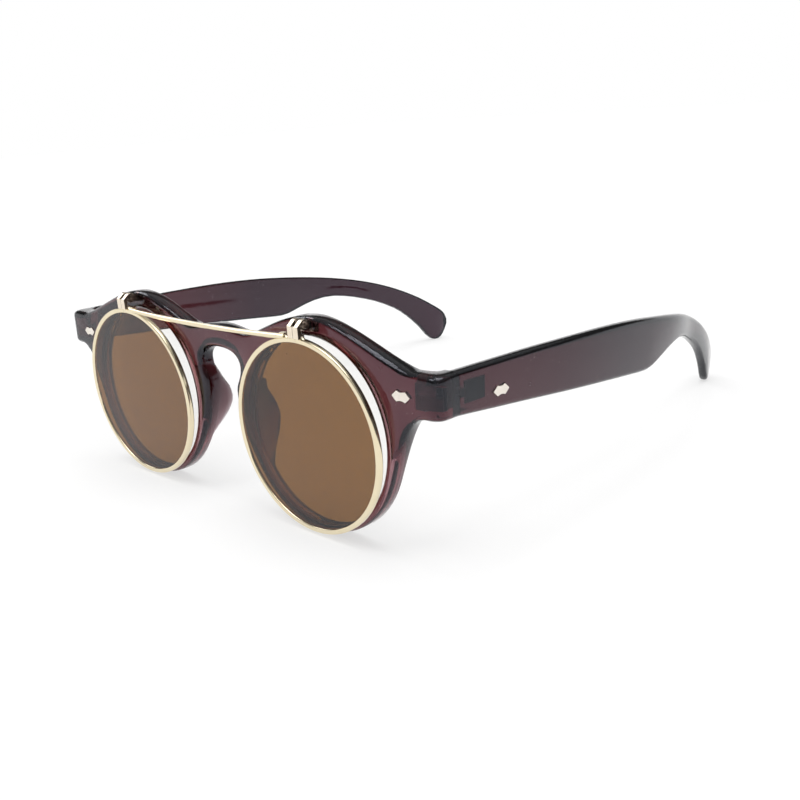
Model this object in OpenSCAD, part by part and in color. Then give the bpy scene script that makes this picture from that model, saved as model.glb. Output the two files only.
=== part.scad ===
// Flip up sunglasses: a moulded front with a keyhole bridge and moulded nose pads, two wide
// temples on three-knuckle hinges, and two tinted lenses in metal rims that flip up on screws.
// Construction frame: X across with the wearer's left at +X, Y back from the front face,
// Z up from the line through both lens centres. stand() sets the finished pieces on a table.

/* [Front] */
// Half width of the front at the outside of the endpieces
front_half_w = 70.3; // [68:0.1:74]
// Thickness of the moulded front
front_t = 4.2; // [3.8:0.1:5]
// Radius of the rounded edge round the front face
front_edge = 1.25; // [0.6:0.05:1.3]
// Radius of the small edge round the back face
back_edge = 0.45; // [0.3:0.05:0.6]
// Height of the brow above the lens openings
brow_over = 4.3; // [3.7:0.1:5.9]
// Distance of the brow's highest point from the middle
brow_x = 34; // [32:0.1:36]
// Height of the top edge at the middle of the bridge
bridge_z = 21.1; // [20:0.1:22.5]
// Height of the two dips beside the bridge
dip_z = 19.9; // [19:0.1:21]
// Distance of each dip from the middle
dip_x = 10.4; // [9.5:0.1:11.5]
// Height of the endpiece's top edge
end_top = 17.8; // [17.2:0.1:18.6]
// Height of the endpiece's lower edge
end_low = 8.4; // [7.8:0.1:9]
// Radius of the endpiece's rounded corner, seen from above
corner_r = 2.6; // [2:0.1:3]
// Depth from the front face to the temple joint
joint_y = 6.5; // [6.2:0.1:7.2]
// Thickness of the endpiece where the temple meets it
side_t = 4.2; // [4:0.1:4.6]

/* [Lens openings] */
// Distance of each lens centre from the middle
eye_x = 33.2; // [32.4:0.1:34]
// Radius of each lens opening
eye_r = 22.1; // [21.6:0.05:22.4]
// Width of the rim below the opening
rim_w = 1.9; // [1.8:0.05:2.6]
// Width of the bevel at the front of the opening
eye_bevel = 0.4; // [0.2:0.05:0.5]
// Depth of the lens groove from the front face
groove_y = 2.4; // [2.2:0.05:2.6]
// How deep the lens groove is cut
groove_d = 0.7; // [0.5:0.05:0.8]
// Thickness of the clear lens
clear_t = 1.8; // [1.4:0.1:2]

/* [Nose] */
// Height of the keyhole's top
key_top = 15.3; // [14.8:0.1:16.2]
// Half width of the keyhole
key_w = 7.7; // [7.2:0.1:8.2]
// Height of the keyhole's widest place
key_z = 11.3; // [10.8:0.1:11.8]
// Half width where the keyhole is pinched
pinch_w = 5.65; // [5.2:0.05:6.2]
// Height of the pinch
pinch_z = 5.45; // [4.8:0.05:6]
// How far the nose pads stand out behind the front
pad_depth = 6.2; // [4:0.1:8]
// Height of the flat ledge on top of each nose pad
pad_top = 8.7; // [8:0.1:9.5]
// Height of the lower end of each nose pad
pad_low = -12.5; // [-14:0.1:-11]

/* [Temples] */
// Length of a temple from the joint to the end of its tip
temple_len = 147.3; // [135:0.1:152]
// Thickness of a temple at the joint
temple_t = 3.2; // [2.8:0.1:3.6]
// Thickness of a temple at its tip
tip_t = 2.7; // [2.4:0.1:3.2]
// How far the temple bows outwards
temple_bow = 2.8; // [1:0.1:4]
// How far the tip turns inwards from the joint
tip_in = 12.9; // [8:0.1:16]
// Height of the temple in front of the step in its lower edge
wide_h = 13.8; // [12:0.1:15]
// Height of the temple at the narrow neck behind the step
neck_h = 6.8; // [6:0.1:8]
// How far the end of the tip lies below the temple's top edge
tip_drop = 29; // [24:0.1:32]
// Width of the spoon at the tip
tip_w = 12.4; // [10.5:0.1:13.5]
// Radius of the rounded outer edges of the temple
temple_edge = 1.25; // [0.6:0.05:1.3]
// Radius of the rounded inner edges of the temple
temple_inner = 0.7; // [0.4:0.05:0.8]
// Gap between the temple and the endpiece
joint_gap = 0.06; // [0.04:0.01:0.2]

/* [Temple hinges] */
// How far the hinge screw lies inside the end of the front
hinge_in = 6.1; // [5.9:0.1:6.3]
// Depth of the hinge screw from the front face
hinge_y = 7; // [6.9:0.05:7.3]
// Radius of the hinge knuckles
knuckle_r = 1.3; // [1.15:0.05:1.4]
// Height of the middle knuckle
knuckle_h = 1.8; // [1.4:0.1:2]
// Height of the whole hinge
hinge_h = 5.4; // [5:0.1:6]
// Radius of the hinge screw
pin_r = 0.6; // [0.5:0.05:0.65]
// Running clearance of every hinge, round its screw and between its faces
run_gap = 0.05; // [0.03:0.01:0.08]
// Length of the hinge leaf moulded into the plastic
leaf_len = 6; // [5:0.1:6.4]
// Height of the hinge leaf
leaf_h = 4.8; // [4:0.1:5.2]
// Thickness of the hinge leaf
leaf_t = 0.9; // [0.7:0.05:1]

/* [Rivet plaques] */
// Half length of a plaque from point to point
plaque_l = 2.5; // [2.2:0.05:2.7]
// Half height of a plaque at its corners
plaque_h = 1.2; // [1:0.05:1.3]
// How deep the hollow in the plaque's long sides is
plaque_notch = 0.28; // [0.15:0.01:0.35]
// How far a plaque stands proud of the plastic
plaque_proud = 0.2; // [0.1:0.05:0.3]
// How deep its pocket is
pocket_d = 0.9; // [0.7:0.05:1.1]
// Width of the engraved gap round a plaque
pocket_gap = 0.14; // [0.08:0.01:0.2]
// How far the front plaques lie inside the end of the front
front_plaque_in = 10; // [9.9:0.1:10.3]
// Height of the front plaques
front_plaque_z = 12.7; // [12.2:0.1:13.2]
// Depth of the temple plaques from the front face
side_plaque_y = 19; // [18.9:0.1:24]
// Height of the temple plaques
side_plaque_z = 11.4; // [11:0.1:12.6]

/* [Flip rims] */
// Outer radius of a flip rim
ring_r = 23; // [22.6:0.05:23.2]
// Thickness of the rim wire across the lens
ring_w = 1.2; // [1:0.05:1.4]
// Depth of the rim wire from front to back
ring_d = 1.4; // [1.2:0.1:2]
// Thickness of the tinted lens
tint_t = 0.9; // [0.8:0.05:1]
// How deep the lens sits in the rim
tint_seat = 0.4; // [0.3:0.05:0.5]
// Half length of the brow bar
bar_half = 30.5; // [29.5:0.1:31]
// Height of the brow bar
bar_h = 1.05; // [0.9:0.05:1.3]
// Depth of the brow bar from front to back
bar_d = 1.1; // [1:0.05:1.3]
// How far the bar bows forward and down in the middle
bar_bow = 0.8; // [0.4:0.1:1.2]
// Width of the soldered tab at each end of the bar
tab_w = 1.5; // [1.1:0.1:2]

/* [Flip hinges] */
// Distance of each flip hinge from the middle
flip_x = 33.8; // [33.4:0.1:34.2]
// Distance of the flip screws in front of the front face
flip_out = 2.5; // [2.4:0.05:2.8]
// How far the flip screws lie below the brow's top
flip_under = 1.2; // [1:0.05:1.5]
// Distance from the flip screws down to the top of the rims
flip_drop = 2.7; // [2.6:0.05:2.9]
// Half width of the fork that carries a rim
fork_half = 1.7; // [1.5:0.05:1.9]
// Width of the lug between the prongs
lug_w = 1.0; // [0.8:0.05:1.2]
// Radius of the rounded end of the prongs
prong_r = 1.25; // [1.15:0.05:1.35]
// How far the closed rims lean back from straight down, in degrees
flip_close = 2.4; // [1.5:0.1:2.6]

/* [Hidden] */
$fn = 96;

plastic = [0.30, 0.13, 0.12];
gold = [0.87, 0.76, 0.58];
steel = [0.72, 0.70, 0.66];
tint = [0.45, 0.32, 0.17, 0.75];
clear = [0.9, 0.95, 0.95, 0.35];

// Curves
function bezier(a, b, c, d, n, spread = 1) =
    [for (i = [0:n - 1]) let (t = pow(i / n, spread), s = 1 - t)
        s * s * s * a + 3 * s * s * t * b + 3 * s * t * t * c + t * t * t * d];
function slope(t, i) =
    let (a = max(i - 1, 0), b = min(i + 1, len(t) - 1)) (t[b].y - t[a].y) / (t[b].x - t[a].x);
function segment(t, x, i = 0) = i >= len(t) - 2 || x < t[i + 1].x ? i : segment(t, x, i + 1);
function spline(t, x) =
    let (i = segment(t, x), h = t[i + 1].x - t[i].x, s = (x - t[i].x) / h)
    (2 * s * s * s - 3 * s * s + 1) * t[i].y + (s * s * s - 2 * s * s + s) * h * slope(t, i)
    + (3 * s * s - 2 * s * s * s) * t[i + 1].y + (s * s * s - s * s) * h * slope(t, i + 1);

// Outline of the front, right half, as a top line and a lower line with as many points each.
// A point is [distance along the outer face from the middle, height].
rim_r = eye_r + rim_w;
brow_z = eye_r + brow_over;
edge_f = min(front_edge, rim_w - eye_bevel - 0.2);
bend_u = front_half_w - corner_r;
bend_len = corner_r * PI / 2;
end_u = bend_u + bend_len + joint_y - corner_r;
end_top_u = bend_u - 1.615 * corner_r;
end_low_u = bend_u - 0.46 * corner_r;
rim_nose = 135;
rim_side = 20;
rim_step = 5;
function rim_at(a) = [eye_x + rim_r * cos(a), -rim_r * sin(a)];
function rim_dir(a) = [sin(a), cos(a)];
function end_points(start, z) = concat(
    [[start, z]],
    [for (k = [0:5]) [bend_u + bend_len * k / 5, z]],
    [[(bend_u + bend_len + end_u) / 2, z], [end_u, z]]);
brow_rise_w = brow_x - dip_x;
brow_fall_w = end_top_u - brow_x;
top_line = concat(
    bezier([0, bridge_z], [0.385 * dip_x, bridge_z], [0.72 * dip_x, dip_z], [dip_x, dip_z], 5),
    bezier([dip_x, dip_z], [dip_x + 0.174 * brow_rise_w, dip_z],
        [brow_x - 0.424 * brow_rise_w, brow_z], [brow_x, brow_z], 27, 0.7),
    bezier([brow_x, brow_z], [brow_x + 0.305 * brow_fall_w, brow_z],
        [end_top_u - 0.203 * brow_fall_w, end_top], [end_top_u, end_top], 24),
    end_points(end_top_u, end_top));
key_rise = key_top - key_z;
key_fall = key_z - pinch_z;
low_line = concat(
    bezier([0, key_top], [0.6 * key_w, key_top], [key_w, key_z + 0.65 * key_rise], [key_w, key_z], 8),
    bezier([key_w, key_z], [key_w, key_z - 0.393 * key_fall], [pinch_w, pinch_z + 0.316 * key_fall],
        [pinch_w, pinch_z], 5),
    bezier([pinch_w, pinch_z], [0.92 * pinch_w, pinch_z - 0.34 * eye_r],
        rim_at(rim_nose) - 0.2375 * rim_r * rim_dir(rim_nose), rim_at(rim_nose), 10),
    [for (a = [rim_nose:-rim_step:rim_side + rim_step]) rim_at(a)],
    bezier(rim_at(rim_side), rim_at(rim_side) + 0.375 * rim_r * rim_dir(rim_side),
        [end_low_u - 2.115 * corner_r, end_low], [end_low_u, end_low], 10),
    end_points(end_low_u, end_low));
nose_first = 8;
nose_last = 23;
nose_edge = [for (i = [nose_last:-1:nose_first]) [low_line[i].y, low_line[i].x]];

// The bent plate: a point on the outer face, d into the plastic
inner_bend = 12.3;
inner_u = front_half_w - inner_bend;
function outer_plan(u) =
    u <= bend_u ? [u, 0]
    : u <= bend_u + bend_len
    ? let (a = (u - bend_u) / corner_r * 180 / PI)
        [bend_u + corner_r * sin(a), corner_r - corner_r * cos(a)]
    : [front_half_w, corner_r + u - bend_u - bend_len];
function inner_plan(u) =
    u <= inner_u ? [u, front_t]
    : let (t = (u - inner_u) / (end_u - inner_u), s = 1 - t, x = front_half_w - side_t)
        s * s * s * [inner_u, front_t] + 3 * s * s * t * [x - 2, front_t]
        + 3 * s * t * t * [x, joint_y - 1.9] + t * t * t * [x, joint_y];
function plate(u, d, z) =
    let (a = abs(u), o = outer_plan(a), p = o + (inner_plan(a) - o) * d / front_t)
    [sign(u) * p.x, p.y, z];
function both_sides(line) =
    concat([for (i = [len(line) - 1:-1:1]) [-line[i].x, line[i].y]], line);
function across(line, i) =
    i == 0 || i == len(line) - 1 ? [0, 1]
    : let (t = line[i + 1] - line[i - 1]) [-t.y, t.x] / norm(t);

module plate_solid() {
    top = both_sides(top_line);
    low = both_sides(low_line);
    n = len(top);
    layers = concat(
        [for (a = [0:30:90]) [edge_f * (1 - cos(a)), edge_f * (1 - sin(a))]],
        [for (a = [90:-45:0]) [front_t - back_edge * (1 - cos(a)), back_edge * (1 - sin(a))]]);
    points = [for (l = layers) each concat(
        [for (i = [0:n - 1]) let (p = top[i] - across(top, i) * l[1]) plate(p.x, l[0], p.y)],
        [for (i = [0:n - 1]) let (p = low[i] + across(low, i) * l[1]) plate(p.x, l[0], p.y)])];
    last = len(layers) - 1;
    function t(k, i) = k * 2 * n + i;
    function b(k, i) = k * 2 * n + n + i;
    quads = concat(
        [for (i = [0:n - 2]) [b(0, i), t(0, i), t(0, i + 1), b(0, i + 1)]],
        [for (i = [0:n - 2]) [b(last, i), b(last, i + 1), t(last, i + 1), t(last, i)]],
        [for (k = [0:last - 1], i = [0:n - 2]) [t(k, i), t(k + 1, i), t(k + 1, i + 1), t(k, i + 1)]],
        [for (k = [0:last - 1], i = [0:n - 2]) [b(k, i), b(k, i + 1), b(k + 1, i + 1), b(k + 1, i)]],
        [for (k = [0:last - 1]) [b(k, n - 1), t(k, n - 1), t(k + 1, n - 1), b(k + 1, n - 1)]],
        [for (k = [0:last - 1]) [b(k, 0), b(k + 1, 0), t(k + 1, 0), t(k, 0)]]);
    polyhedron(points, [for (q = quads) each [[q[0], q[1], q[2]], [q[0], q[2], q[3]]]]);
}

// One moulded nose pad, as level slices from its flat top ledge down
pad_rise = [[0, 0], [0.17, 0.42], [0.35, 0.84], [0.52, 1], [0.71, 0.76], [0.85, 0.4], [1, 0.2]];
pad_slices = 14;
module nose_pad() {
    inside_y = 1.8;
    past_eye = 1.2;
    slices = [for (k = [0:pad_slices]) let (
        f = k / pad_slices,
        z = pad_low + (pad_top - pad_low) * f,
        h = pad_depth * spline(pad_rise, f),
        x = lookup(z, nose_edge),
        e = eye_x - sqrt(eye_r * eye_r - z * z) + past_eye)
        [[x + 0.35, inside_y, z], [x + 0.5, front_t - 0.3, z], [x + 0.95, front_t + 0.45 * h, z],
            [x + 1.75, front_t + 0.84 * h, z], [x + 2.9, front_t + h, z],
            [e + 0.3, front_t + 0.96 * h, z], [e + 0.3, inside_y, z]]];
    m = len(slices[0]);
    polyhedron(
        [for (s = slices) each s],
        concat(
            [[for (i = [m - 1:-1:0]) i]],
            [[for (i = [0:m - 1]) pad_slices * m + i]],
            [for (k = [0:pad_slices - 1], i = [0:m - 1]) let (j = (i + 1) % m)
                each [[k * m + i, (k + 1) * m + j, (k + 1) * m + i], [k * m + i, k * m + j, (k + 1) * m + j]]]));
}

// Turned pieces lie on the Y axis through the lens centre
module eye_axis(y) translate([eye_x, y, 0]) rotate([-90, 0, 0]) children();

clear_r = eye_r - run_gap;
module clear_lens_body() {
    eye_axis(groove_y) rotate_extrude()
        polygon([[0, -clear_t / 2], [clear_r, -clear_t / 2], [clear_r + groove_d - run_gap, 0],
            [clear_r, clear_t / 2], [0, clear_t / 2]]);
}
module eye_cut() {
    through = 20;
    eye_axis(-1) cylinder(r = eye_r, h = through);
    eye_axis(-eye_bevel) cylinder(r1 = eye_r + 2 * eye_bevel, r2 = eye_r, h = 2 * eye_bevel);
    half = clear_t / 2 + run_gap;
    eye_axis(groove_y) rotate_extrude()
        polygon([[eye_r - 1, -half], [eye_r, -half], [eye_r + groove_d, 0], [eye_r, half], [eye_r - 1, half]]);
}

// Temple hinge, drawn for the wearer's left side
hinge_x = front_half_w - hinge_in;
hinge_z = (end_top + end_low) / 2 - 0.2;
front_leaf_y = front_t - leaf_t - 0.7;
front_leaf_x = hinge_x - knuckle_r;
module knuckle(z0, z1) {
    translate([hinge_x, hinge_y, z0]) cylinder(r = knuckle_r, h = z1 - z0);
}
module screw_bore() {
    translate([hinge_x, hinge_y, hinge_z - hinge_h]) cylinder(r = pin_r + run_gap, h = 2 * hinge_h);
}
module front_leaf_body() {
    arm_low = knuckle_h / 2 + run_gap;
    difference() {
        union() {
            translate([front_leaf_x, front_leaf_y, hinge_z - leaf_h / 2]) cube([leaf_len, leaf_t, leaf_h]);
            for (s = [-1, 1]) {
                z0 = min(s * arm_low, s * hinge_h / 2) + hinge_z;
                h = hinge_h / 2 - arm_low;
                knuckle(z0, z0 + h);
                translate([hinge_x - knuckle_r, front_leaf_y, z0])
                    cube([2 * knuckle_r, hinge_y - front_leaf_y, h]);
            }
        }
        screw_bore();
    }
}
temple_face = front_half_w - temple_t;
temple_leaf_x = temple_face + 0.75;
module temple_leaf_body() {
    arm_back = 2.6;
    z0 = hinge_z - knuckle_h / 2;
    difference() {
        union() {
            translate([temple_leaf_x, hinge_y + 2.2, hinge_z - leaf_h / 2 + 0.1])
                cube([leaf_t, leaf_len + 0.2, leaf_h - 0.2]);
            knuckle(z0, z0 + knuckle_h);
            translate([0, 0, z0]) linear_extrude(knuckle_h)
                polygon([[hinge_x, hinge_y + knuckle_r], [temple_face - 0.3, hinge_y + arm_back],
                    [temple_leaf_x + leaf_t / 2, hinge_y + arm_back],
                    [temple_leaf_x + leaf_t / 2, hinge_y + 0.9], [hinge_x + knuckle_r * 0.7, hinge_y]]);
        }
        screw_bore();
    }
}
head_h = 0.5;
head_r = 0.9;
slot_w = 0.28;
module screw_head() {
    difference() {
        cylinder(r1 = head_r, r2 = head_r - 0.25, h = head_h);
        translate([-head_r - 1, -slot_w / 2, head_h - 0.2]) cube([2 * head_r + 2, slot_w, 1]);
    }
}
module hinge_screw_body() {
    translate([hinge_x, hinge_y, hinge_z - hinge_h / 2]) cylinder(r = pin_r, h = hinge_h);
    translate([hinge_x, hinge_y, hinge_z + hinge_h / 2]) screw_head();
}

// Rivet plaque: a pointed plate with hollow long sides, facing -Y, on a round shank
shank_r = 0.7;
shank_l = 1.1;
module plaque_plate(depth, grow) {
    l = plaque_l + grow * 1.35;
    h = plaque_h + grow;
    c = plaque_l * 0.48 + grow * 0.6;
    r = (c * c + plaque_notch * plaque_notch) / (2 * plaque_notch);
    rotate([90, 0, 0]) difference() {
        linear_extrude(depth) polygon([[l, 0], [c, h], [-c, h], [-l, 0], [-c, -h], [c, -h]]);
        for (s = [-1, 1]) translate([0, s * (h - plaque_notch + r), -1]) cylinder(r = r, h = depth + 2);
    }
}
module rivet_body() {
    translate([0, pocket_d, 0]) plaque_plate(pocket_d + plaque_proud, 0);
    translate([0, pocket_d + shank_l, 0]) rotate([90, 0, 0]) cylinder(r = shank_r, h = shank_l);
}
module rivet_pocket() {
    translate([0, pocket_d, 0]) plaque_plate(pocket_d + 2, pocket_gap);
    translate([0, pocket_d + shank_l, 0]) rotate([90, 0, 0]) cylinder(r = shank_r + 0.02, h = shank_l + 0.5);
}
front_plaque_x = front_half_w - front_plaque_in;
module at_front_rivet() translate([front_plaque_x, 0, front_plaque_z]) children();

// Flip hinge: the lug stands on a plate moulded into the brow
flip_z = brow_z - flip_under;
lug_plate_y = 0.9;
lug_plate = [4.6, 1, 2.7];
lug_r = 1.1;
module at_flip_pin(x) translate([x, -flip_out, flip_z]) children();
module along_x(x0, x1) translate([x0, 0, 0]) rotate([90, 0, 90]) linear_extrude(x1 - x0) children();
module lug_body() {
    reach = flip_out + lug_plate_y + lug_plate.y / 2;
    at_flip_pin(flip_x) difference() {
        union() {
            translate([-lug_w / 2, 0, 0]) rotate([0, 90, 0]) cylinder(r = lug_r, h = lug_w);
            along_x(-lug_w / 2, lug_w / 2) polygon([[0, -lug_r], [reach, -1.5], [reach, 0.2], [0, lug_r]]);
            translate([-lug_plate.x / 2, flip_out + lug_plate_y, -lug_plate.z + 0.6]) cube(lug_plate);
        }
        translate([-lug_w, 0, 0]) rotate([0, 90, 0]) cylinder(r = pin_r + run_gap, h = 2 * lug_w);
    }
}
// Everything on the flip turns with it about the two screws, and hangs back a little when closed
module at_flip(x) translate([x, -flip_out, flip_z]) rotate([flip_close, 0, 0]) children();
ring_back = -0.3;
ring_y = ring_back - ring_d / 2;
ring_z = -flip_drop - ring_r;
ring_in = ring_r - ring_w;
rim_slit = 0.2;
module ring_axis() translate([eye_x - flip_x, ring_y, ring_z]) rotate([-90, 0, 0]) children();
tint_r = ring_in + tint_seat;
module flip_rim_body() {
    e = 0.2;
    g = tint_t / 2 + run_gap / 2;
    at_flip(flip_x) difference() {
        ring_axis() rotate_extrude() polygon([
            [ring_in, -ring_d / 2], [ring_r - e, -ring_d / 2], [ring_r - e * 0.3, -ring_d / 2 + e * 0.3],
            [ring_r, -ring_d / 2 + e], [ring_r, ring_d / 2 - e], [ring_r - e * 0.3, ring_d / 2 - e * 0.3],
            [ring_r - e, ring_d / 2], [ring_in, ring_d / 2], [ring_in, g], [tint_r + run_gap, g],
            [tint_r + run_gap, -g], [ring_in, -g]]);
        translate([-rim_slit / 2, -ring_d * 2, -flip_drop - 2 * ring_w])
            cube([rim_slit, ring_d * 4, 3 * ring_w]);
    }
}
module flip_lens_body() {
    at_flip(flip_x) ring_axis() translate([0, 0, -tint_t / 2]) cylinder(r = tint_r, h = tint_t);
}
// One half of the fork: a plate that stands on the rim beside its slit, and a prong that leans
// back from the plate's top to an eye round the screw. It is drawn for the side of +X.
fork_front = -2.2;
fork_back = -lug_r - 0.1;
fork_bend = -0.1;
foot_back = ring_back - 0.1;
foot_h = 0.7;
split_gap = 0.03;
module fork_half_body() {
    prong_in = lug_w / 2 + run_gap;
    foot_low = -flip_drop - 0.3;
    foot_top = -flip_drop + foot_h;
    root = fork_bend - 0.6;
    lean_on = acos(prong_r / norm([fork_front, fork_bend])) - atan(fork_bend / fork_front);
    difference() {
        union() {
            along_x(split_gap, fork_half) polygon([
                [fork_front, foot_low], [foot_back, foot_low], [foot_back, foot_top],
                [fork_back, foot_top + 0.3], [fork_back, fork_bend], [fork_front, fork_bend]]);
            along_x(prong_in, fork_half) polygon([
                [fork_front, root], [fork_back, root], [-prong_r * cos(40), -prong_r * sin(40)], [0, 0],
                [-prong_r * cos(lean_on), prong_r * sin(lean_on)], [fork_front, fork_bend]]);
            translate([prong_in, 0, 0]) rotate([0, 90, 0]) cylinder(r = prong_r, h = fork_half - prong_in);
        }
        rotate([0, 90, 0]) cylinder(r = pin_r + run_gap / 2, h = 2 * fork_half);
    }
}
module flip_fork(outer) {
    at_flip(flip_x) difference() {
        mirror([outer ? 0 : 1, 0, 0]) fork_half_body();
        ring_axis() translate([0, 0, -ring_d * 2]) cylinder(r = ring_r, h = ring_d * 4);
    }
}
module flip_screw_body() {
    thread_out = 0.3;
    at_flip(flip_x) {
        translate([-fork_half - thread_out, 0, 0]) rotate([0, 90, 0])
            cylinder(r = pin_r, h = 2 * fork_half + thread_out);
        translate([fork_half, 0, 0]) rotate([0, 90, 0]) rotate([0, 0, 35]) screw_head();
    }
}
// The bar bows forward and down between its ends and is soldered on the rims' tops by a tab
bar_y = ring_y - 0.7;
bar_z = -flip_drop;
module brow_bar_body() {
    e = 0.2;
    r = (bar_half * bar_half + bar_bow * bar_bow) / (2 * bar_bow);
    a = 2 * asin(bar_half / r);
    tilt_down = 55;
    at_flip(0) difference() {
        union() {
            translate([0, bar_y, bar_z]) rotate([tilt_down, 0, 0]) translate([0, r - bar_bow, 0])
                rotate([0, 0, -90 - a / 2]) rotate_extrude(angle = a, $fn = 1440)
                    translate([r, 0]) rotate(tilt_down) polygon([
                        [bar_d / 2 - e, -bar_h / 2], [bar_d / 2, -bar_h / 2 + e], [bar_d / 2, bar_h / 2 - e],
                        [bar_d / 2 - e, bar_h / 2], [-bar_d / 2 + e, bar_h / 2], [-bar_d / 2, bar_h / 2 - e],
                        [-bar_d / 2, -bar_h / 2 + e], [-bar_d / 2 + e, -bar_h / 2]]);
            for (x = [-bar_half, bar_half - tab_w])
                translate([x, bar_y - 0.2, bar_z - 0.9]) cube([tab_w, 1.2, 1.7]);
        }
        for (x = [-eye_x, eye_x]) translate([x, -10, ring_z]) rotate([-90, 0, 0]) cylinder(r = ring_r, h = 20);
    }
}

// Temple, drawn for the wearer's left side. Each list gives a height or a width
// at shares of the length, counted from the joint.
temple_y0 = joint_y + joint_gap;
temple_f = concat(
    [for (k = [0:12]) 0.035 * k], [for (k = [0:8]) 0.44 + 0.02 * k], [for (k = [0:7]) 0.63 + 0.03 * k],
    [for (k = [0:4]) 0.86 + 0.02 * k], [0.953, 0.963, 0.972, 0.98, 0.987, 0.993, 0.9975]);
drop_list = [[0, 0], [0.196, -0.006], [0.403, 0.024], [0.575, 0.112], [0.712, 0.23], [0.816, 0.382],
    [0.905, 0.577], [0.967, 0.766], [0.991, 0.868], [1, 0.97]];
tall_list = [[0, end_top - end_low], [0.196, 0.86 * wide_h], [0.368, 0.975 * wide_h], [0.485, wide_h],
    [0.517, 0.955 * wide_h], [0.56, 0.78 * wide_h], [0.605, 1.24 * neck_h], [0.65, 1.02 * neck_h],
    [0.69, 0.97 * neck_h], [0.735, 0.99 * neck_h], [0.8, 1.07 * neck_h], [0.864, 0.7 * tip_w],
    [0.919, 0.95 * tip_w], [0.946, 1.14 * tip_w], [0.964, 1.12 * tip_w], [0.981, 0.9 * tip_w],
    [0.993, 0.52 * tip_w], [1, 0.1 * tip_w]];
bow_list = [[0, 0], [0.02, 0.05], [0.093, 0.36], [0.3, 1], [0.506, 0.93], [0.609, 0.55], [0.678, 0.25],
    [0.767, 0.05], [0.864, 0], [1, 0]];
turn_list = [[0, 0], [0.5, 0], [0.609, 0.01], [0.678, 0.108], [0.767, 0.352], [0.864, 0.574],
    [0.939, 0.783], [1, 1]];
thick_list = [[0, temple_t], [0.16, 0.6 * temple_t + 0.4 * tip_t], [0.64, 0.4 * temple_t + 0.6 * tip_t],
    [1, tip_t]];
function temple_top(f) = end_top - tip_drop * spline(drop_list, f);
function temple_low(f) = temple_top(f) - spline(tall_list, f);
function temple_out(f) =
    front_half_w + temple_bow * spline(bow_list, f) - tip_in * spline(turn_list, f);
function temple_y(f) = temple_y0 + temple_len * f;

module temple_solid() {
    m = 14;
    n = len(temple_f);
    points = [for (f = temple_f) let (
        y = temple_y(f), x = temple_out(f), w = spline(thick_list, f),
        hi = temple_top(f), lo = temple_low(f),
        e = min(temple_edge, 0.3 * (hi - lo)), b = min(temple_inner, 0.3 * (hi - lo)))
        each concat(
            [for (a = [0:30:90]) [x - e * (1 - cos(a)), y, hi - e * (1 - sin(a))]],
            [for (a = [90:-45:0]) [x - w + b * (1 - cos(a)), y, hi - b * (1 - sin(a))]],
            [for (a = [0:45:90]) [x - w + b * (1 - cos(a)), y, lo + b * (1 - sin(a))]],
            [for (a = [90:-30:0]) [x - e * (1 - cos(a)), y, lo + e * (1 - sin(a))]])];
    function end_fan(k) = [for (i = [0:m / 2 - 2]) [k + i, k + i + 1, k + m - 2 - i, k + m - 1 - i]];
    function quads() = concat(
        [for (q = end_fan(0)) q],
        [for (q = end_fan((n - 1) * m)) [q[3], q[2], q[1], q[0]]],
        [for (k = [0:n - 2], i = [0:m - 1]) let (j = (i + 1) % m)
            [k * m + i, (k + 1) * m + i, (k + 1) * m + j, k * m + j]]);
    polyhedron(points, [for (q = quads()) each [[q[0], q[1], q[2]], [q[0], q[2], q[3]]]]);
}
module at_side_rivet() {
    f = (side_plaque_y - temple_y0) / temple_len;
    lean_out = atan((temple_out(f + 0.01) - temple_out(f - 0.01)) / (0.02 * temple_len));
    translate([temple_out(f), side_plaque_y, side_plaque_z]) rotate([0, 0, 90 - lean_out]) children();
}
module temple_body() {
    difference() {
        temple_solid();
        temple_leaf_body();
        at_side_rivet() rivet_pocket();
    }
}

// How the glasses stand: on the lower rims and the two tips
rest_y = front_t - back_edge;
lean = min([for (f = temple_f) atan((temple_low(f) + rim_r) / (temple_y(f) - rest_y))]);
lift = rest_y * sin(lean) + rim_r * cos(lean);
front_most = (-flip_out + fork_front) * cos(lean) + (flip_z - flip_drop) * sin(lean);
back_most = temple_y(1) * cos(lean) + temple_top(0.9975) * sin(lean);
mid_y = (front_most + back_most) / 2;

module stand() translate([0, -mid_y, lift]) rotate([-lean, 0, 0]) children();
module left() stand() children();
module right() stand() mirror([1, 0, 0]) children();

module front_frame() color(plastic) stand() difference() {
    union() {
        plate_solid();
        nose_pad();
        mirror([1, 0, 0]) nose_pad();
    }
    for (s = [0, 1]) mirror([s, 0, 0]) {
        eye_cut();
        front_leaf_body();
        at_front_rivet() rivet_pocket();
        lug_body();
    }
}
module left_clear_lens() color(clear) left() clear_lens_body();
module right_clear_lens() color(clear) right() clear_lens_body();
module left_temple() color(plastic) left() temple_body();
module right_temple() color(plastic) right() temple_body();
module left_front_hinge_leaf() color(steel) left() front_leaf_body();
module right_front_hinge_leaf() color(steel) right() front_leaf_body();
module left_temple_hinge_leaf() color(steel) left() temple_leaf_body();
module right_temple_hinge_leaf() color(steel) right() temple_leaf_body();
module left_hinge_screw() color(steel) left() hinge_screw_body();
module right_hinge_screw() color(steel) right() hinge_screw_body();
module left_front_rivet() color(steel) left() at_front_rivet() rivet_body();
module right_front_rivet() color(steel) right() at_front_rivet() rivet_body();
module left_temple_rivet() color(steel) left() at_side_rivet() rivet_body();
module right_temple_rivet() color(steel) right() at_side_rivet() rivet_body();
module left_flip_lug() color(gold) left() lug_body();
module right_flip_lug() color(gold) right() lug_body();
module left_flip_outer_fork() color(gold) left() flip_fork(true);
module left_flip_inner_fork() color(gold) left() flip_fork(false);
module right_flip_outer_fork() color(gold) right() flip_fork(true);
module right_flip_inner_fork() color(gold) right() flip_fork(false);
module left_flip_screw() color(gold) left() flip_screw_body();
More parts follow.
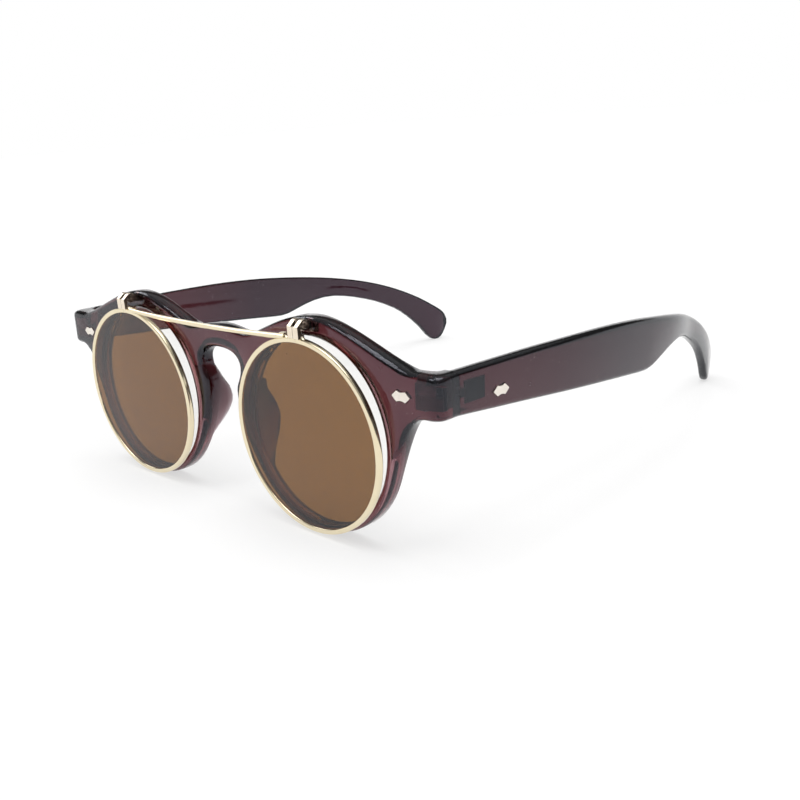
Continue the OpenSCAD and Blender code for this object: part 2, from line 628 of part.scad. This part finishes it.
module right_flip_screw() color(gold) right() flip_screw_body();
module left_flip_rim() color(gold) left() flip_rim_body();
module right_flip_rim() color(gold) right() flip_rim_body();
module left_flip_lens() color(tint) left() flip_lens_body();
module right_flip_lens() color(tint) right() flip_lens_body();
module flip_brow_bar() color(gold) stand() brow_bar_body();

front_frame();
left_clear_lens();
right_clear_lens();
left_temple();
right_temple();
left_front_hinge_leaf();
right_front_hinge_leaf();
left_temple_hinge_leaf();
right_temple_hinge_leaf();
left_hinge_screw();
right_hinge_screw();
left_front_rivet();
right_front_rivet();
left_temple_rivet();
right_temple_rivet();
left_flip_lug();
right_flip_lug();
left_flip_outer_fork();
left_flip_inner_fork();
right_flip_outer_fork();
right_flip_inner_fork();
left_flip_screw();
right_flip_screw();
left_flip_rim();
right_flip_rim();
left_flip_lens();
right_flip_lens();
flip_brow_bar();
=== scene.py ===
# Flip up sunglasses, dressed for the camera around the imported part.
# Everything is in metres in the part's own frame: the wearer's left at +X, the temples
# running back along +Y, and the table at Z = 0.
import math

import bmesh
import bpy
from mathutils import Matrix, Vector


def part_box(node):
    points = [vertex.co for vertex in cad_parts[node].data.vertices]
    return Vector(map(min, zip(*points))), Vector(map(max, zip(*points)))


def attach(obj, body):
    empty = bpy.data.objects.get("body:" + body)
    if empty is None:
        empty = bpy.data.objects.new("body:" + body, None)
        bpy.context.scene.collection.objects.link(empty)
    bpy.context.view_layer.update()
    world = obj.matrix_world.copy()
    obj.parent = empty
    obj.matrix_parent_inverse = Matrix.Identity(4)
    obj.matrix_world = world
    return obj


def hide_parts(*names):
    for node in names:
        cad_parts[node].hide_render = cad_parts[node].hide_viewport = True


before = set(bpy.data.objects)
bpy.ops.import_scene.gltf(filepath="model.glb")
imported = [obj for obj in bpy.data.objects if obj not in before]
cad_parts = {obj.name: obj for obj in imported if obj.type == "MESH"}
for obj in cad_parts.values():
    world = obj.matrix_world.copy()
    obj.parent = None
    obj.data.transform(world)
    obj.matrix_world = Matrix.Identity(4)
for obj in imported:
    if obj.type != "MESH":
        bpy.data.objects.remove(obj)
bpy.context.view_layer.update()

# Moulded front
# The front is one moulding in translucent red-brown plastic: brow, rims, keyhole bridge and
# nose pads. The polished mould and the tumbling leave soft flow marks and fine hairlines, and
# the lens openings are cut to size afterwards, so that their walls stay dull. Those walls are
# also painted dark as painted shade.
MM = 0.001
SIDES = ("left", "right")
JOINED_WITHIN = 1e-6
FLAT_WITHIN = 1.0
EASED_EDGE = 30.0
MOULDED_EDGE = 40.0
PLASTIC_IOR = 1.53
PLASTIC_GLINT = (0.84, 0.87, 1.0, 1)
COOL_SKIN = (0.80, 0.82, 0.87, 1)
WARM_SKIN = (1.0, 0.95, 0.94, 1)
# Painted shade: the dark blue that the temples' skin darkens to towards their back.
PAINTED_SHADE_SKIN = (0.30, 0.40, 0.52, 1)
# Painted shade on the walls of the lens openings.
WALL_PAINTED_SHADE = (0.30, 0.22, 0.25, 1)
DUST_DULLING = 0.35
CUT_DULLING = 0.35
FRONT_DENSITY = 800.0
FRONT_KEPT = (0.44, 0.05, 0.09)
OPENING_MARGIN = 0.15 * MM
WALL_FACING = 0.5


class Tap:
    """An output of a node. Sums, products and comparisons on it add their own nodes."""

    def __init__(self, net, socket):
        self.net = net
        self.socket = socket

    def worked(self, operation, a, b):
        return self.net.node("ShaderNodeMath", {"operation": operation}, {0: a, 1: b})

    def __add__(self, other):
        return self.worked("ADD", self, other)

    def __sub__(self, other):
        return self.worked("SUBTRACT", self, other)

    def __rsub__(self, other):
        return self.worked("SUBTRACT", other, self)

    def __mul__(self, other):
        return self.worked("MULTIPLY", self, other)

    def __truediv__(self, other):
        return self.worked("DIVIDE", self, other)

    def __rtruediv__(self, other):
        return self.worked("DIVIDE", other, self)

    def __gt__(self, other):
        return self.worked("GREATER_THAN", self, other)

    __radd__ = __add__
    __rmul__ = __mul__


class Net:
    """A node tree under construction. node() adds a node and hands back one of its outputs."""

    def __init__(self, tree):
        self.tree = tree
        self.tree.nodes.clear()

    def node(self, kind, settings=None, sockets=None, out=0):
        made = self.tree.nodes.new(kind)
        for name, value in (settings or {}).items():
            setattr(made, name, value)
        for name, value in (sockets or {}).items():
            if isinstance(value, Tap):
                self.tree.links.new(value.socket, made.inputs[name])
            else:
                made.inputs[name].default_value = value
        return Tap(self, made.outputs[out]) if made.outputs else None

    def between(self, low, high, value, onto=(0.0, 1.0)):
        """value from low to high, as a share of onto, held at both ends."""
        return self.node("ShaderNodeMapRange", None, {
            "Value": value, "From Min": low, "From Max": high, "To Min": onto[0], "To Max": onto[1]})


class Finish(Net):
    """A material under construction, with its patterns on the piece's own coordinates."""

    def __init__(self, name):
        self.material = bpy.data.materials.new(name)
        self.material.use_nodes = True
        super().__init__(self.material.node_tree)
        self.place = self.node("ShaderNodeTexCoord", out="Object")

    def noise(self, scale, detail=2.0, stretch=(1, 1, 1)):
        """Fades from 0 to 1 over the piece. scale counts the patches to a metre."""
        at = self.node("ShaderNodeMapping", None, {"Vector": self.place, "Scale": stretch})
        return self.node("ShaderNodeTexNoise", None, {"Vector": at, "Scale": scale, "Detail": detail})

    def tinted(self, share, first, second):
        """A colour between first and second."""
        return self.node("ShaderNodeMix", {"data_type": "RGBA"}, {0: share, 6: first, 7: second}, out=2)

    def bump(self, height, distance, strength):
        return self.node("ShaderNodeBump", None, {
            "Height": height, "Distance": distance, "Strength": strength})

    def ends(self, surface, inside=None):
        """Ends the material in that surface, and in that inside where it is a clear solid."""
        sockets = {"Surface": surface}
        if inside is not None:
            sockets["Volume"] = inside
        self.node("ShaderNodeOutputMaterial", None, sockets)
        return self.material

    def shader(self, sockets, volume=None):
        """Ends the material in one plain shader, with volume as its (density, colour)."""
        inside = None
        if volume:
            density, colour = volume
            inside = self.node("ShaderNodeVolumeAbsorption", None, {
                "Density": density, "Color": (*colour, 1)})
        return self.ends(self.node("ShaderNodeBsdfPrincipled", None, sockets), inside)


def as_object(name, verts, faces, finish, body, sharp):
    """A smooth-shaded mesh object on a body, with edges sharper than that angle kept crisp."""
    mesh = bpy.data.meshes.new(name)
    mesh.from_pydata(verts, [], faces)
    work = bmesh.new()
    work.from_mesh(mesh)
    bmesh.ops.remove_doubles(work, verts=work.verts, dist=JOINED_WITHIN / 10)
    for face in work.faces:
        face.smooth = True
    for edge in work.edges:
        edge.smooth = edge.calc_face_angle(0.0) < math.radians(sharp)
    work.to_mesh(mesh)
    work.free()
    obj = bpy.data.objects.new(name, mesh)
    bpy.context.scene.collection.objects.link(obj)
    obj.data.materials.append(finish)
    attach(obj, body)
    return obj


def copy_of(node, finish, body, sharp=35.0, ease=0.0):
    """A joined-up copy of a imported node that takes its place, with its edges eased if asked."""
    work = bmesh.new()
    work.from_mesh(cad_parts[node].data)
    bmesh.ops.remove_doubles(work, verts=work.verts, dist=JOINED_WITHIN)
    if ease:
        bmesh.ops.dissolve_limit(work, angle_limit=math.radians(FLAT_WITHIN),
                                 verts=work.verts, edges=work.edges)
    work.verts.index_update()
    verts = [v.co.copy() for v in work.verts]
    faces = [[v.index for v in f.verts] for f in work.faces]
    work.free()
    obj = as_object(node + "_finished", verts, faces, finish, body, sharp)
    if ease:
        edges = obj.modifiers.new("eased edges", "BEVEL")
        edges.width = ease
        edges.segments = 2
        edges.limit_method = "ANGLE"
        edges.angle_limit = math.radians(EASED_EDGE)
        edges.harden_normals = True
    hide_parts(node)
    return obj


def middle(node):
    """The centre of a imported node's box."""
    low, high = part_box(node)
    return (Vector(low) + Vector(high)) / 2


def moulded_plastic(name, density, kept, painted_shade=None):
    """Clear red-brown plastic: its colour is in its depth, its marks are on its skin.

    kept is the colour that it lets through, the less of it the higher the density. painted_shade
    gives the Y where painted shade starts to darken its skin towards a dark blue and the Y
    where it is darkest."""
    finish = Finish(name)
    flow = finish.noise(scale=55, detail=3, stretch=(1, 0.4, 1))
    streak = finish.between(0.42, 0.62, finish.noise(scale=38, detail=2, stretch=(1, 0.35, 1.6)))
    skin = finish.noise(scale=900, detail=2)
    hairline = finish.noise(scale=1400, detail=1, stretch=(1, 0.06, 0.5))
    dust = finish.noise(scale=2600, detail=0) > 0.86
    cut = finish.node("ShaderNodeAttribute", {"attribute_name": "cut"}, out="Fac")
    rough = 0.045 + 0.04 * flow + 0.05 * finish.between(0.62, 0.7, hairline)
    height = 0.8 * flow + 0.1 * skin + 0.1 * hairline
    skin_tint = finish.tinted(streak, COOL_SKIN, WARM_SKIN)
    # Painted shade: where asked, the skin turns darker and bluer towards the back.
    if painted_shade:
        along = finish.node("ShaderNodeSeparateXYZ", None, {"Vector": finish.place}, out="Y")
        skin_tint = finish.tinted(finish.between(*painted_shade, along), skin_tint, PAINTED_SHADE_SKIN)
    return finish.shader({
        # Painted shade: the walls of the lens openings are painted dark, and they are also dulled by the
        # cutting.
        "Base Color": finish.tinted(cut, skin_tint, WALL_PAINTED_SHADE),
        "Roughness": rough + DUST_DULLING * dust + CUT_DULLING * cut,
        "IOR": PLASTIC_IOR,
        "Specular Tint": PLASTIC_GLINT,
        "Transmission Weight": 1.0,
        "Normal": finish.bump(height, distance=0.03 * MM, strength=0.5),
    }, volume=(density, kept))


front_plastic = moulded_plastic("front_plastic", FRONT_DENSITY, FRONT_KEPT)
front = copy_of("front_frame", front_plastic, "front", sharp=MOULDED_EDGE)
openings = [(middle(side + "_clear_lens"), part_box(side + "_clear_lens")) for side in SIDES]


def in_opening(face):
    """Yes for a face of a rim's inner wall or of the groove in it."""
    for centre, (low, high) in openings:
        reach = Vector((face.center.x - centre.x, 0, face.center.z - centre.z)).length
        if reach < (high[0] - low[0]) / 2 + OPENING_MARGIN and abs(face.normal.y) < WALL_FACING:
            return True
    return False


# Marks the walls of the lens openings, which the plastic dulls and paints dark as painted shade.
cut = front.data.attributes.new("cut", "FLOAT", "FACE")
for face in front.data.polygons:
    cut.data[face.index].value = float(in_opening(face))

# Clear lenses
# A flat blank of clear acrylic, bevelled round its rim, is snapped into the groove of each
# lens opening from the back.
ACRYLIC_IOR = 1.49
LENS_EDGE = 30.0


def clear_acrylic():
    """Colourless sheet, with the faint smears that a wiped lens keeps."""
    finish = Finish("clear_acrylic")
    smear = finish.noise(scale=70, detail=3, stretch=(1, 1, 0.35))
    return finish.shader({
        "Base Color": finish.tinted(smear, (0.97, 0.98, 0.97, 1), (0.99, 0.99, 0.98, 1)),
        "Roughness": 0.01 + 0.02 * smear,
        "IOR": ACRYLIC_IOR,
        "Transmission Weight": 1.0,
    })


acrylic = clear_acrylic()
for side in SIDES:
    copy_of(side + "_clear_lens", acrylic, "front", sharp=LENS_EDGE)

# Temple hinges
# Each hinge is a three-knuckle steel hinge whose leaves are sunk hot into the plastic, where
# they show through it as dark blocks. A slotted screw holds the knuckles together.
LEAF_EASE = 0.06 * MM
SCREW_EASE = 0.04 * MM


def bare_metal(finish, share, first, second, roughness, marks, depth, strength=0.4):
    """Ends a material as metal, coloured from first to second, with marks of that depth."""
    return finish.shader({
        "Base Color": finish.tinted(share, first, second),
        "Metallic": 1.0,
        "Roughness": roughness,
        "Normal": finish.bump(marks, depth, strength),
    })


def hinge_steel():
    """Rolled steel, dull where the tool gripped it."""
    finish = Finish("hinge_steel")
    rolled = finish.noise(scale=1500, detail=3, stretch=(0.2, 1, 1))
    patch = finish.noise(scale=260, detail=2)
    return bare_metal(finish, patch, (0.46, 0.44, 0.42, 1), (0.62, 0.60, 0.57, 1),
                      0.24 + 0.18 * rolled, rolled, depth=0.01 * MM)


steel = hinge_steel()
for side in SIDES:
    copy_of(side + "_front_hinge_leaf", steel, "front", ease=LEAF_EASE)
    copy_of(side + "_temple_hinge_leaf", steel, side + "_temple", ease=LEAF_EASE)
    copy_of(side + "_hinge_screw", steel, "front", ease=SCREW_EASE)

# Temples
# A temple is cut from the same plastic, wide in front of a step in its lower edge and narrow
# behind it, and its tip is bent down and in to a spoon that rests behind the ear.
TEMPLE_DENSITY = 1250.0
TEMPLE_KEPT = (0.40, 0.06, 0.10)
# Painted shade on the temples: their skin turns darker and bluer from the first Y to the second.
TEMPLE_PAINTED_SHADE = (-55 * MM, -5 * MM)

temple_plastic = moulded_plastic("temple_plastic", TEMPLE_DENSITY, TEMPLE_KEPT, TEMPLE_PAINTED_SHADE)
for side in SIDES:
    copy_of(side + "_temple", temple_plastic, side + "_temple", sharp=MOULDED_EDGE)

# Rivet plaques
# Small waisted plates of bright nickel-plated brass, each held by a shank on its back that is
# pressed into a blind hole beside the hinge.
PLAQUE_EASE = 0.07 * MM


def nickel():
    """Pale plated brass, lightly brushed along the plate."""
    finish = Finish("nickel")
    brushed = finish.noise(scale=5200, detail=2, stretch=(0.1, 0.1, 1))
    cloud = finish.noise(scale=600, detail=2)
    return bare_metal(finish, cloud, (0.76, 0.70, 0.62, 1), (0.88, 0.83, 0.76, 1),
                      0.16 + 0.16 * brushed, brushed, depth=0.006 * MM)


plate = nickel()
for side in SIDES:
    copy_of(side + "_front_rivet", plate, "front", ease=PLAQUE_EASE)
    copy_of(side + "_temple_rivet", plate, side + "_temple", ease=PLAQUE_EASE)

# Flip rims
# Each tinted lens is held in a rim of grooved gold wire, bent round and slit at the top, where
# the two halves of its fork are soldered on.
RIM_RADIUS = 22.4 * MM
RIM_WALL = 1.2 * MM
RIM_DEPTH = 1.4 * MM
RIM_ROUNDING = 0.3 * MM
RIM_SLIT = 0.04 * MM
RIM_STEPS = 240
ROUNDING_STEPS = 5
RIM_EDGE = 30.0


def polished_gold():
    """Pale gold plate over brass: polished, with the polishing wheel's faint lines."""
    finish = Finish("polished_gold")
    cloud = finish.noise(scale=240, detail=3)
    wheel = finish.noise(scale=3200, detail=2, stretch=(1, 0.15, 1))
    return bare_metal(finish, cloud, (0.80, 0.69, 0.47, 1), (0.87, 0.78, 0.58, 1),
                      0.09 + 0.10 * cloud + 0.05 * wheel, wheel, depth=0.004 * MM)


def rim_tree():
    """A slit ring of rounded wire, standing up, with its slit at the angle Slit place."""
    tree = bpy.data.node_groups.new("slit_rim", "GeometryNodeTree")
    rim = Net(tree)
    for name, value in (("Radius", RIM_RADIUS), ("Wall", RIM_WALL), ("Depth", RIM_DEPTH),
                        ("Rounding", RIM_ROUNDING), ("Slit", RIM_SLIT), ("Slit place", math.pi / 2)):
        made = tree.interface.new_socket(name, in_out="INPUT", socket_type="NodeSocketFloat")
        made.default_value = value
    tree.interface.new_socket("Finish", in_out="INPUT", socket_type="NodeSocketMaterial")
    tree.interface.new_socket("Geometry", in_out="OUTPUT", socket_type="NodeSocketGeometry")

    def given(name):
        return rim.node("NodeGroupInput", out=name)

    gap = given("Slit") / given("Radius")
    ring = rim.node("GeometryNodeCurveArc", {"mode": "RADIUS"}, {
        "Resolution": RIM_STEPS, "Radius": given("Radius"),
        "Start Angle": given("Slit place") + 0.5 * gap, "Sweep Angle": math.tau - gap})
    section = rim.node("GeometryNodeCurvePrimitiveQuadrilateral", {"mode": "RECTANGLE"}, {
        "Width": given("Wall"), "Height": given("Depth")})
    rounded = rim.node("GeometryNodeFilletCurve", {"mode": "POLY"}, {
        "Curve": section, "Count": ROUNDING_STEPS, "Radius": given("Rounding")})
    wire = rim.node("GeometryNodeCurveToMesh", None, {
        "Curve": ring, "Profile Curve": rounded, "Fill Caps": True})
    stood = rim.node("GeometryNodeTransform", None, {"Geometry": wire, "Rotation": (math.pi / 2, 0, 0)})
    real = rim.node("GeometryNodeRealizeInstances", None, {"Geometry": stood})
    done = rim.node("GeometryNodeSetMaterial", None, {"Geometry": real, "Material": given("Finish")})
    rim.node("NodeGroupOutput", None, {"Geometry": done})
    return tree


def grown(name, tree, values, centre, body, sharp):
    """Runs a node tree with those inputs and keeps its result as a plain mesh at centre."""
    seed = bpy.data.objects.new(name + "_seed", bpy.data.meshes.new(name))
    bpy.context.scene.collection.objects.link(seed)
    maker = seed.modifiers.new("maker", "NODES")
    maker.node_group = tree
    for item in tree.interface.items_tree:
        if item.in_out == "INPUT" and item.name in values:
            maker[item.identifier] = values[item.name]
    bpy.context.view_layer.update()
    ready = seed.evaluated_get(bpy.context.evaluated_depsgraph_get())
    mesh = bpy.data.meshes.new_from_object(ready)
    verts = [v.co + centre for v in mesh.vertices]
    faces = [tuple(p.vertices) for p in mesh.polygons]
    finish = mesh.materials[0]
    bpy.data.objects.remove(seed)
    bpy.data.meshes.remove(mesh)
    return as_object(name, verts, faces, finish, body, sharp)


gold = polished_gold()
rims = rim_tree()
for side in SIDES:
    node = side + "_flip_rim"
    over_slit = middle(side + "_flip_lug").x - middle(node).x
    slit_place = math.acos(over_slit / RIM_RADIUS)
    rim = grown(side + "_rim_wire", rims, {"Finish": gold, "Slit place": slit_place}, middle(node),
                "flip", RIM_EDGE)
    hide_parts(node)

# Tinted lenses
# Flat discs of brown acrylic sheet, dyed through, sit in the groove of each rim, which the
# screw of its fork draws closed on them.
TINTED_IOR = 1.52
TINTED_GLINT = (0.90, 0.94, 1.0, 1)
TINTED_DENSITY = 3700.0
TINTED_KEPT = (0.614, 0.412, 0.01)


def brown_acrylic():
    """Brown tinted sheet, with the faint smears that a wiped lens keeps and a speck or two."""
    finish = Finish("brown_acrylic")
    smear = finish.noise(scale=60, detail=3, stretch=(1, 1, 0.3))
    speck = finish.noise(scale=1300, detail=0) > 0.88
    return finish.shader({
        "Base Color": finish.tinted(speck, (0.98, 0.96, 0.90, 1), (0.45, 0.40, 0.36, 1)),
        "Roughness": 0.01 + 0.02 * smear + 0.3 * speck,
        "IOR": TINTED_IOR,
        "Specular Tint": TINTED_GLINT,
        "Transmission Weight": 1.0,
    }, volume=(TINTED_DENSITY, TINTED_KEPT))


brown = brown_acrylic()
for side in SIDES:
    copy_of(side + "_flip_lens", brown, "flip", sharp=LENS_EDGE)

# Brow bar
# One length of flat gold wire, bowed to follow the brow, joins the two rims. It ends in a
# tab at each rim, where it is soldered on.
BAR_EASE = 0.12 * MM

copy_of("flip_brow_bar", gold, "flip", ease=BAR_EASE)

# Flip hinges
# A lug moulded into the brow stands between the prongs of a fork, and a screw through all
# three is the axis on which the rims turn up. The forks are pressed from paler brass strip,
# bright on its faces. Their sheared sides, the lug and the screw are painted dark brown as
# painted shade.
LUG_EASE = 0.08 * MM
FORK_EASE = 0.06 * MM
# Fork faces turned further to the side than this get the dark brass as painted shade.
SHADED_SIDE_FACING = 0.7


def pale_brass():
    """Pale plated strip, with the fine grain of the press and a duller patch here and there."""
    finish = Finish("pale_brass")
    grain = finish.noise(scale=4200, detail=2, stretch=(0.3, 1, 1))
    patch = finish.noise(scale=900, detail=2)
    return bare_metal(finish, patch, (0.80, 0.68, 0.53, 1), (0.93, 0.84, 0.71, 1),
                      0.16 + 0.14 * patch + 0.06 * grain, grain, depth=0.005 * MM)


def shaded_brass():
    """Unpolished brass, painted dark brown as painted shade, with fine pores and lighter in random
    patches.
    """
    finish = Finish("shaded_brass")
    pores = finish.noise(scale=2600, detail=3)
    rubbed = finish.between(0.5, 0.75, finish.noise(scale=1300, detail=2))
    return bare_metal(finish, rubbed, (0.13, 0.10, 0.08, 1), (0.42, 0.36, 0.29, 1),
                      0.26 + 0.18 * pores, pores, depth=0.01 * MM, strength=0.5)


brass = pale_brass()
painted_shade_brass = shaded_brass()
for side in SIDES:
    copy_of(side + "_flip_lug", painted_shade_brass, "front", ease=LUG_EASE)
    for half in ("inner", "outer"):
        fork = copy_of(side + "_flip_" + half + "_fork", brass, "flip", ease=FORK_EASE)
        # Painted shade: the sides of each fork take the dark brass, and its faces keep the pale.
        fork.data.materials.append(painted_shade_brass)
        for face in fork.data.polygons:
            if abs(face.normal.x) > SHADED_SIDE_FACING:
                face.material_index = 1
    copy_of(side + "_flip_screw", painted_shade_brass, "flip", ease=SCREW_EASE)

# Solder
# A small fillet of pale solder runs out over the top of the rim from each side of a fork's
# foot, and from both sides of each tab of the bar.
FILLET_STEPS = 8
FILLET_SKIN = 0.015 * MM
FILLET_SINK = 0.05 * MM
FILLET_NARROWS = 0.35
FILLET_CREST = 0.75
FILLET_EDGE = 80.0
TAB_WIDTH = 1.5 * MM
TAB_BACK = 0.3 * MM
FOOT_FILLET = (0.8 * MM, 0.55 * MM, 1.0 * MM)
OUTER_TAB_FILLET = (0.7 * MM, 0.6 * MM, 1.1 * MM)
INNER_TAB_FILLET = (1.5 * MM, 0.8 * MM, 1.1 * MM)


def pale_solder():
    """Bright solder, with the fine ripple of metal that set as it flowed."""
    finish = Finish("pale_solder")
    ripple = finish.noise(scale=3000, detail=2)
    return bare_metal(finish, ripple, (0.70, 0.58, 0.40, 1), (0.90, 0.82, 0.66, 1),
                      0.2 + 0.15 * ripple, ripple, depth=0.02 * MM, strength=0.6)


solder = pale_solder()


def fillet(name, start, outward, size, rim_top):
    """A hollow-faced wedge of that (run, rise, width), high at start, that follows the rim."""
    run, rise, width = size
    verts = []
    for i in range(FILLET_STEPS + 1):
        share = i / FILLET_STEPS
        x = start.x + outward * run * share
        below = rim_top(x)
        top = below + rise * (1 - share) ** 2 + FILLET_SKIN
        half = width / 2 * (1 - FILLET_NARROWS * share ** 2)
        foot = below - FILLET_SINK
        crest = half * FILLET_CREST
        for y, z in ((-half, foot), (half, foot), (crest, top), (-crest, top)):
            verts.append((x, start.y + y, z))
    faces = [(0, 1, 2, 3), tuple(4 * FILLET_STEPS + k for k in (3, 2, 1, 0))]
    for i in range(FILLET_STEPS):
        for k in range(4):
            a, b = 4 * i + k, 4 * i + (k + 1) % 4
            faces.append((a, a + 4, b + 4, b))
    if outward < 0:
        faces = [tuple(reversed(f)) for f in faces]
    piece = as_object(name, verts, faces, solder, "flip", FILLET_EDGE)


bar_low, bar_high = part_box("flip_brow_bar")
for side, along, tab_edge in (("left", 1, bar_high[0]), ("right", -1, bar_low[0])):
    centre = middle(side + "_flip_rim")
    low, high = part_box(side + "_flip_rim")
    radius = (high[0] - low[0]) / 2

    def rim_top(x, centre=centre, radius=radius):
        return centre.z + math.sqrt(radius ** 2 - (x - centre.x) ** 2)

    halves = [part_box(side + "_flip_" + half + "_fork") for half in ("outer", "inner")]
    right_edge = min(box[0][0] for box in halves)
    left_edge = max(box[1][0] for box in halves)
    for way, outward, edge in (("right", -1, right_edge), ("left", 1, left_edge)):
        fillet(side + "_foot_solder_" + way, Vector((edge, centre.y, 0)), outward, FOOT_FILLET, rim_top)
    tab_y = centre.y - TAB_BACK
    fillet(side + "_tab_solder_outer", Vector((tab_edge, tab_y, 0)), along, OUTER_TAB_FILLET, rim_top)
    fillet(side + "_tab_solder_inner", Vector((tab_edge - along * TAB_WIDTH, tab_y, 0)),
           -along, INNER_TAB_FILLET, rim_top)

# Table, light and camera
# The glasses stand on a matt white table before a white backdrop, under a wide soft box, with
# a smaller one in front and a weak strip at the side. The camera looks over the wearer's left
# front corner.
TABLE_HALF = 3.0
TABLE_WHITE = 0.95
TABLE_GLOW_SHARE = 0.62
SKY_FILL = 0.5
SKY_DIM = 0.1
SKY_FADE = 0.1
BACKDROP_TOP = 0.22
CEILING_LOW = 0.5
CEILING_GLOW = 0.45
CAMERA_PLACE = (0.1806, -0.2018, 0.0934)
CAMERA_TURN = (71.87, 4.02, 42.09)
CAMERA_LENS = 41.15
CAMERA_SENSOR = 36.0
CAMERA_NEAREST = 0.01


def ray(net, kind):
    """1 for rays of that kind, else 0."""
    return net.node("ShaderNodeLightPath", out=kind)


def studio_sky():
    """White low down and overhead, with a dim gap between them that draws the edges of gloss."""
    world = bpy.data.worlds.new("studio")
    bpy.context.scene.world = world
    world.use_nodes = True
    sky = Net(world.node_tree)
    way = sky.node("ShaderNodeTexCoord", out="Generated")
    height = sky.node("ShaderNodeSeparateXYZ", None, {"Vector": way}, out="Z")
    backdrop = sky.between(BACKDROP_TOP, BACKDROP_TOP + SKY_FADE, height, onto=(1.0, SKY_DIM))
    in_gloss = sky.between(CEILING_LOW, CEILING_LOW + SKY_FADE, height, onto=(backdrop, CEILING_GLOW))
    lit = sky.node("ShaderNodeMix", None, {
        "Factor": ray(sky, "Is Diffuse Ray"), "A": 1.0, "B": SKY_FILL})
    glossy = sky.node("ShaderNodeMix", None, {
        "Factor": ray(sky, "Is Glossy Ray"), "A": lit, "B": in_gloss})
    glow = sky.node("ShaderNodeBackground", None, {"Color": (1, 1, 1, 1), "Strength": glossy})
    sky.node("ShaderNodeOutputWorld", None, {"Surface": glow})


def table_white():
    """Matt white that looks white to the camera, straight, in a gloss and through glass."""
    finish = Finish("table_white")
    seen = ray(finish, "Is Camera Ray")
    for other in ("Is Glossy Ray", "Is Transmission Ray"):
        seen = finish.node("ShaderNodeMath", {"operation": "MAXIMUM"}, {0: seen, 1: ray(finish, other)})
    white = (TABLE_WHITE, TABLE_WHITE, TABLE_WHITE, 1)
    matt = finish.node("ShaderNodeBsdfDiffuse", None, {"Color": white})
    glow = finish.node("ShaderNodeEmission", None, {"Color": (1, 1, 1, 1), "Strength": seen})
    return finish.ends(finish.node("ShaderNodeMixShader", None, {0: TABLE_GLOW_SHARE, 1: matt, 2: glow}))


def lamp(name, strength, angle, turn):
    """A far, wide lamp: its angle is the width of the soft box as the glasses see it."""
    light = bpy.data.lights.new(name, "SUN")
    light.energy = strength
    light.angle = math.radians(angle)
    obj = bpy.data.objects.new(name, light)
    obj.rotation_euler = [math.radians(a) for a in turn]
    bpy.context.scene.collection.objects.link(obj)


studio_sky()
table_mesh = bpy.data.meshes.new("table")
corners = [(x * TABLE_HALF, y * TABLE_HALF, 0) for x, y in ((-1, -1), (1, -1), (1, 1), (-1, 1))]
table_mesh.from_pydata(corners, [], [(0, 1, 2, 3)])
table_mesh.materials.append(table_white())
table = bpy.data.objects.new("table", table_mesh)
bpy.context.scene.collection.objects.link(table)

lamp("soft_box_above", strength=1.4, angle=42, turn=(-6, 4, 0))
lamp("soft_box_front", strength=0.6, angle=30, turn=(20, -14, 0))
lamp("strip_light", strength=0.35, angle=22, turn=(2, -52, 0))

camera = bpy.data.cameras.new("camera")
camera.lens = CAMERA_LENS
camera.sensor_width = CAMERA_SENSOR
camera.clip_start = CAMERA_NEAREST
eye = bpy.data.objects.new("camera", camera)
eye.location = CAMERA_PLACE
eye.rotation_euler = [math.radians(a) for a in CAMERA_TURN]
bpy.context.scene.collection.objects.link(eye)
bpy.context.scene.camera = eye
bpy.context.scene.view_settings.view_transform = "Standard"

bpy.context.view_layer.update()
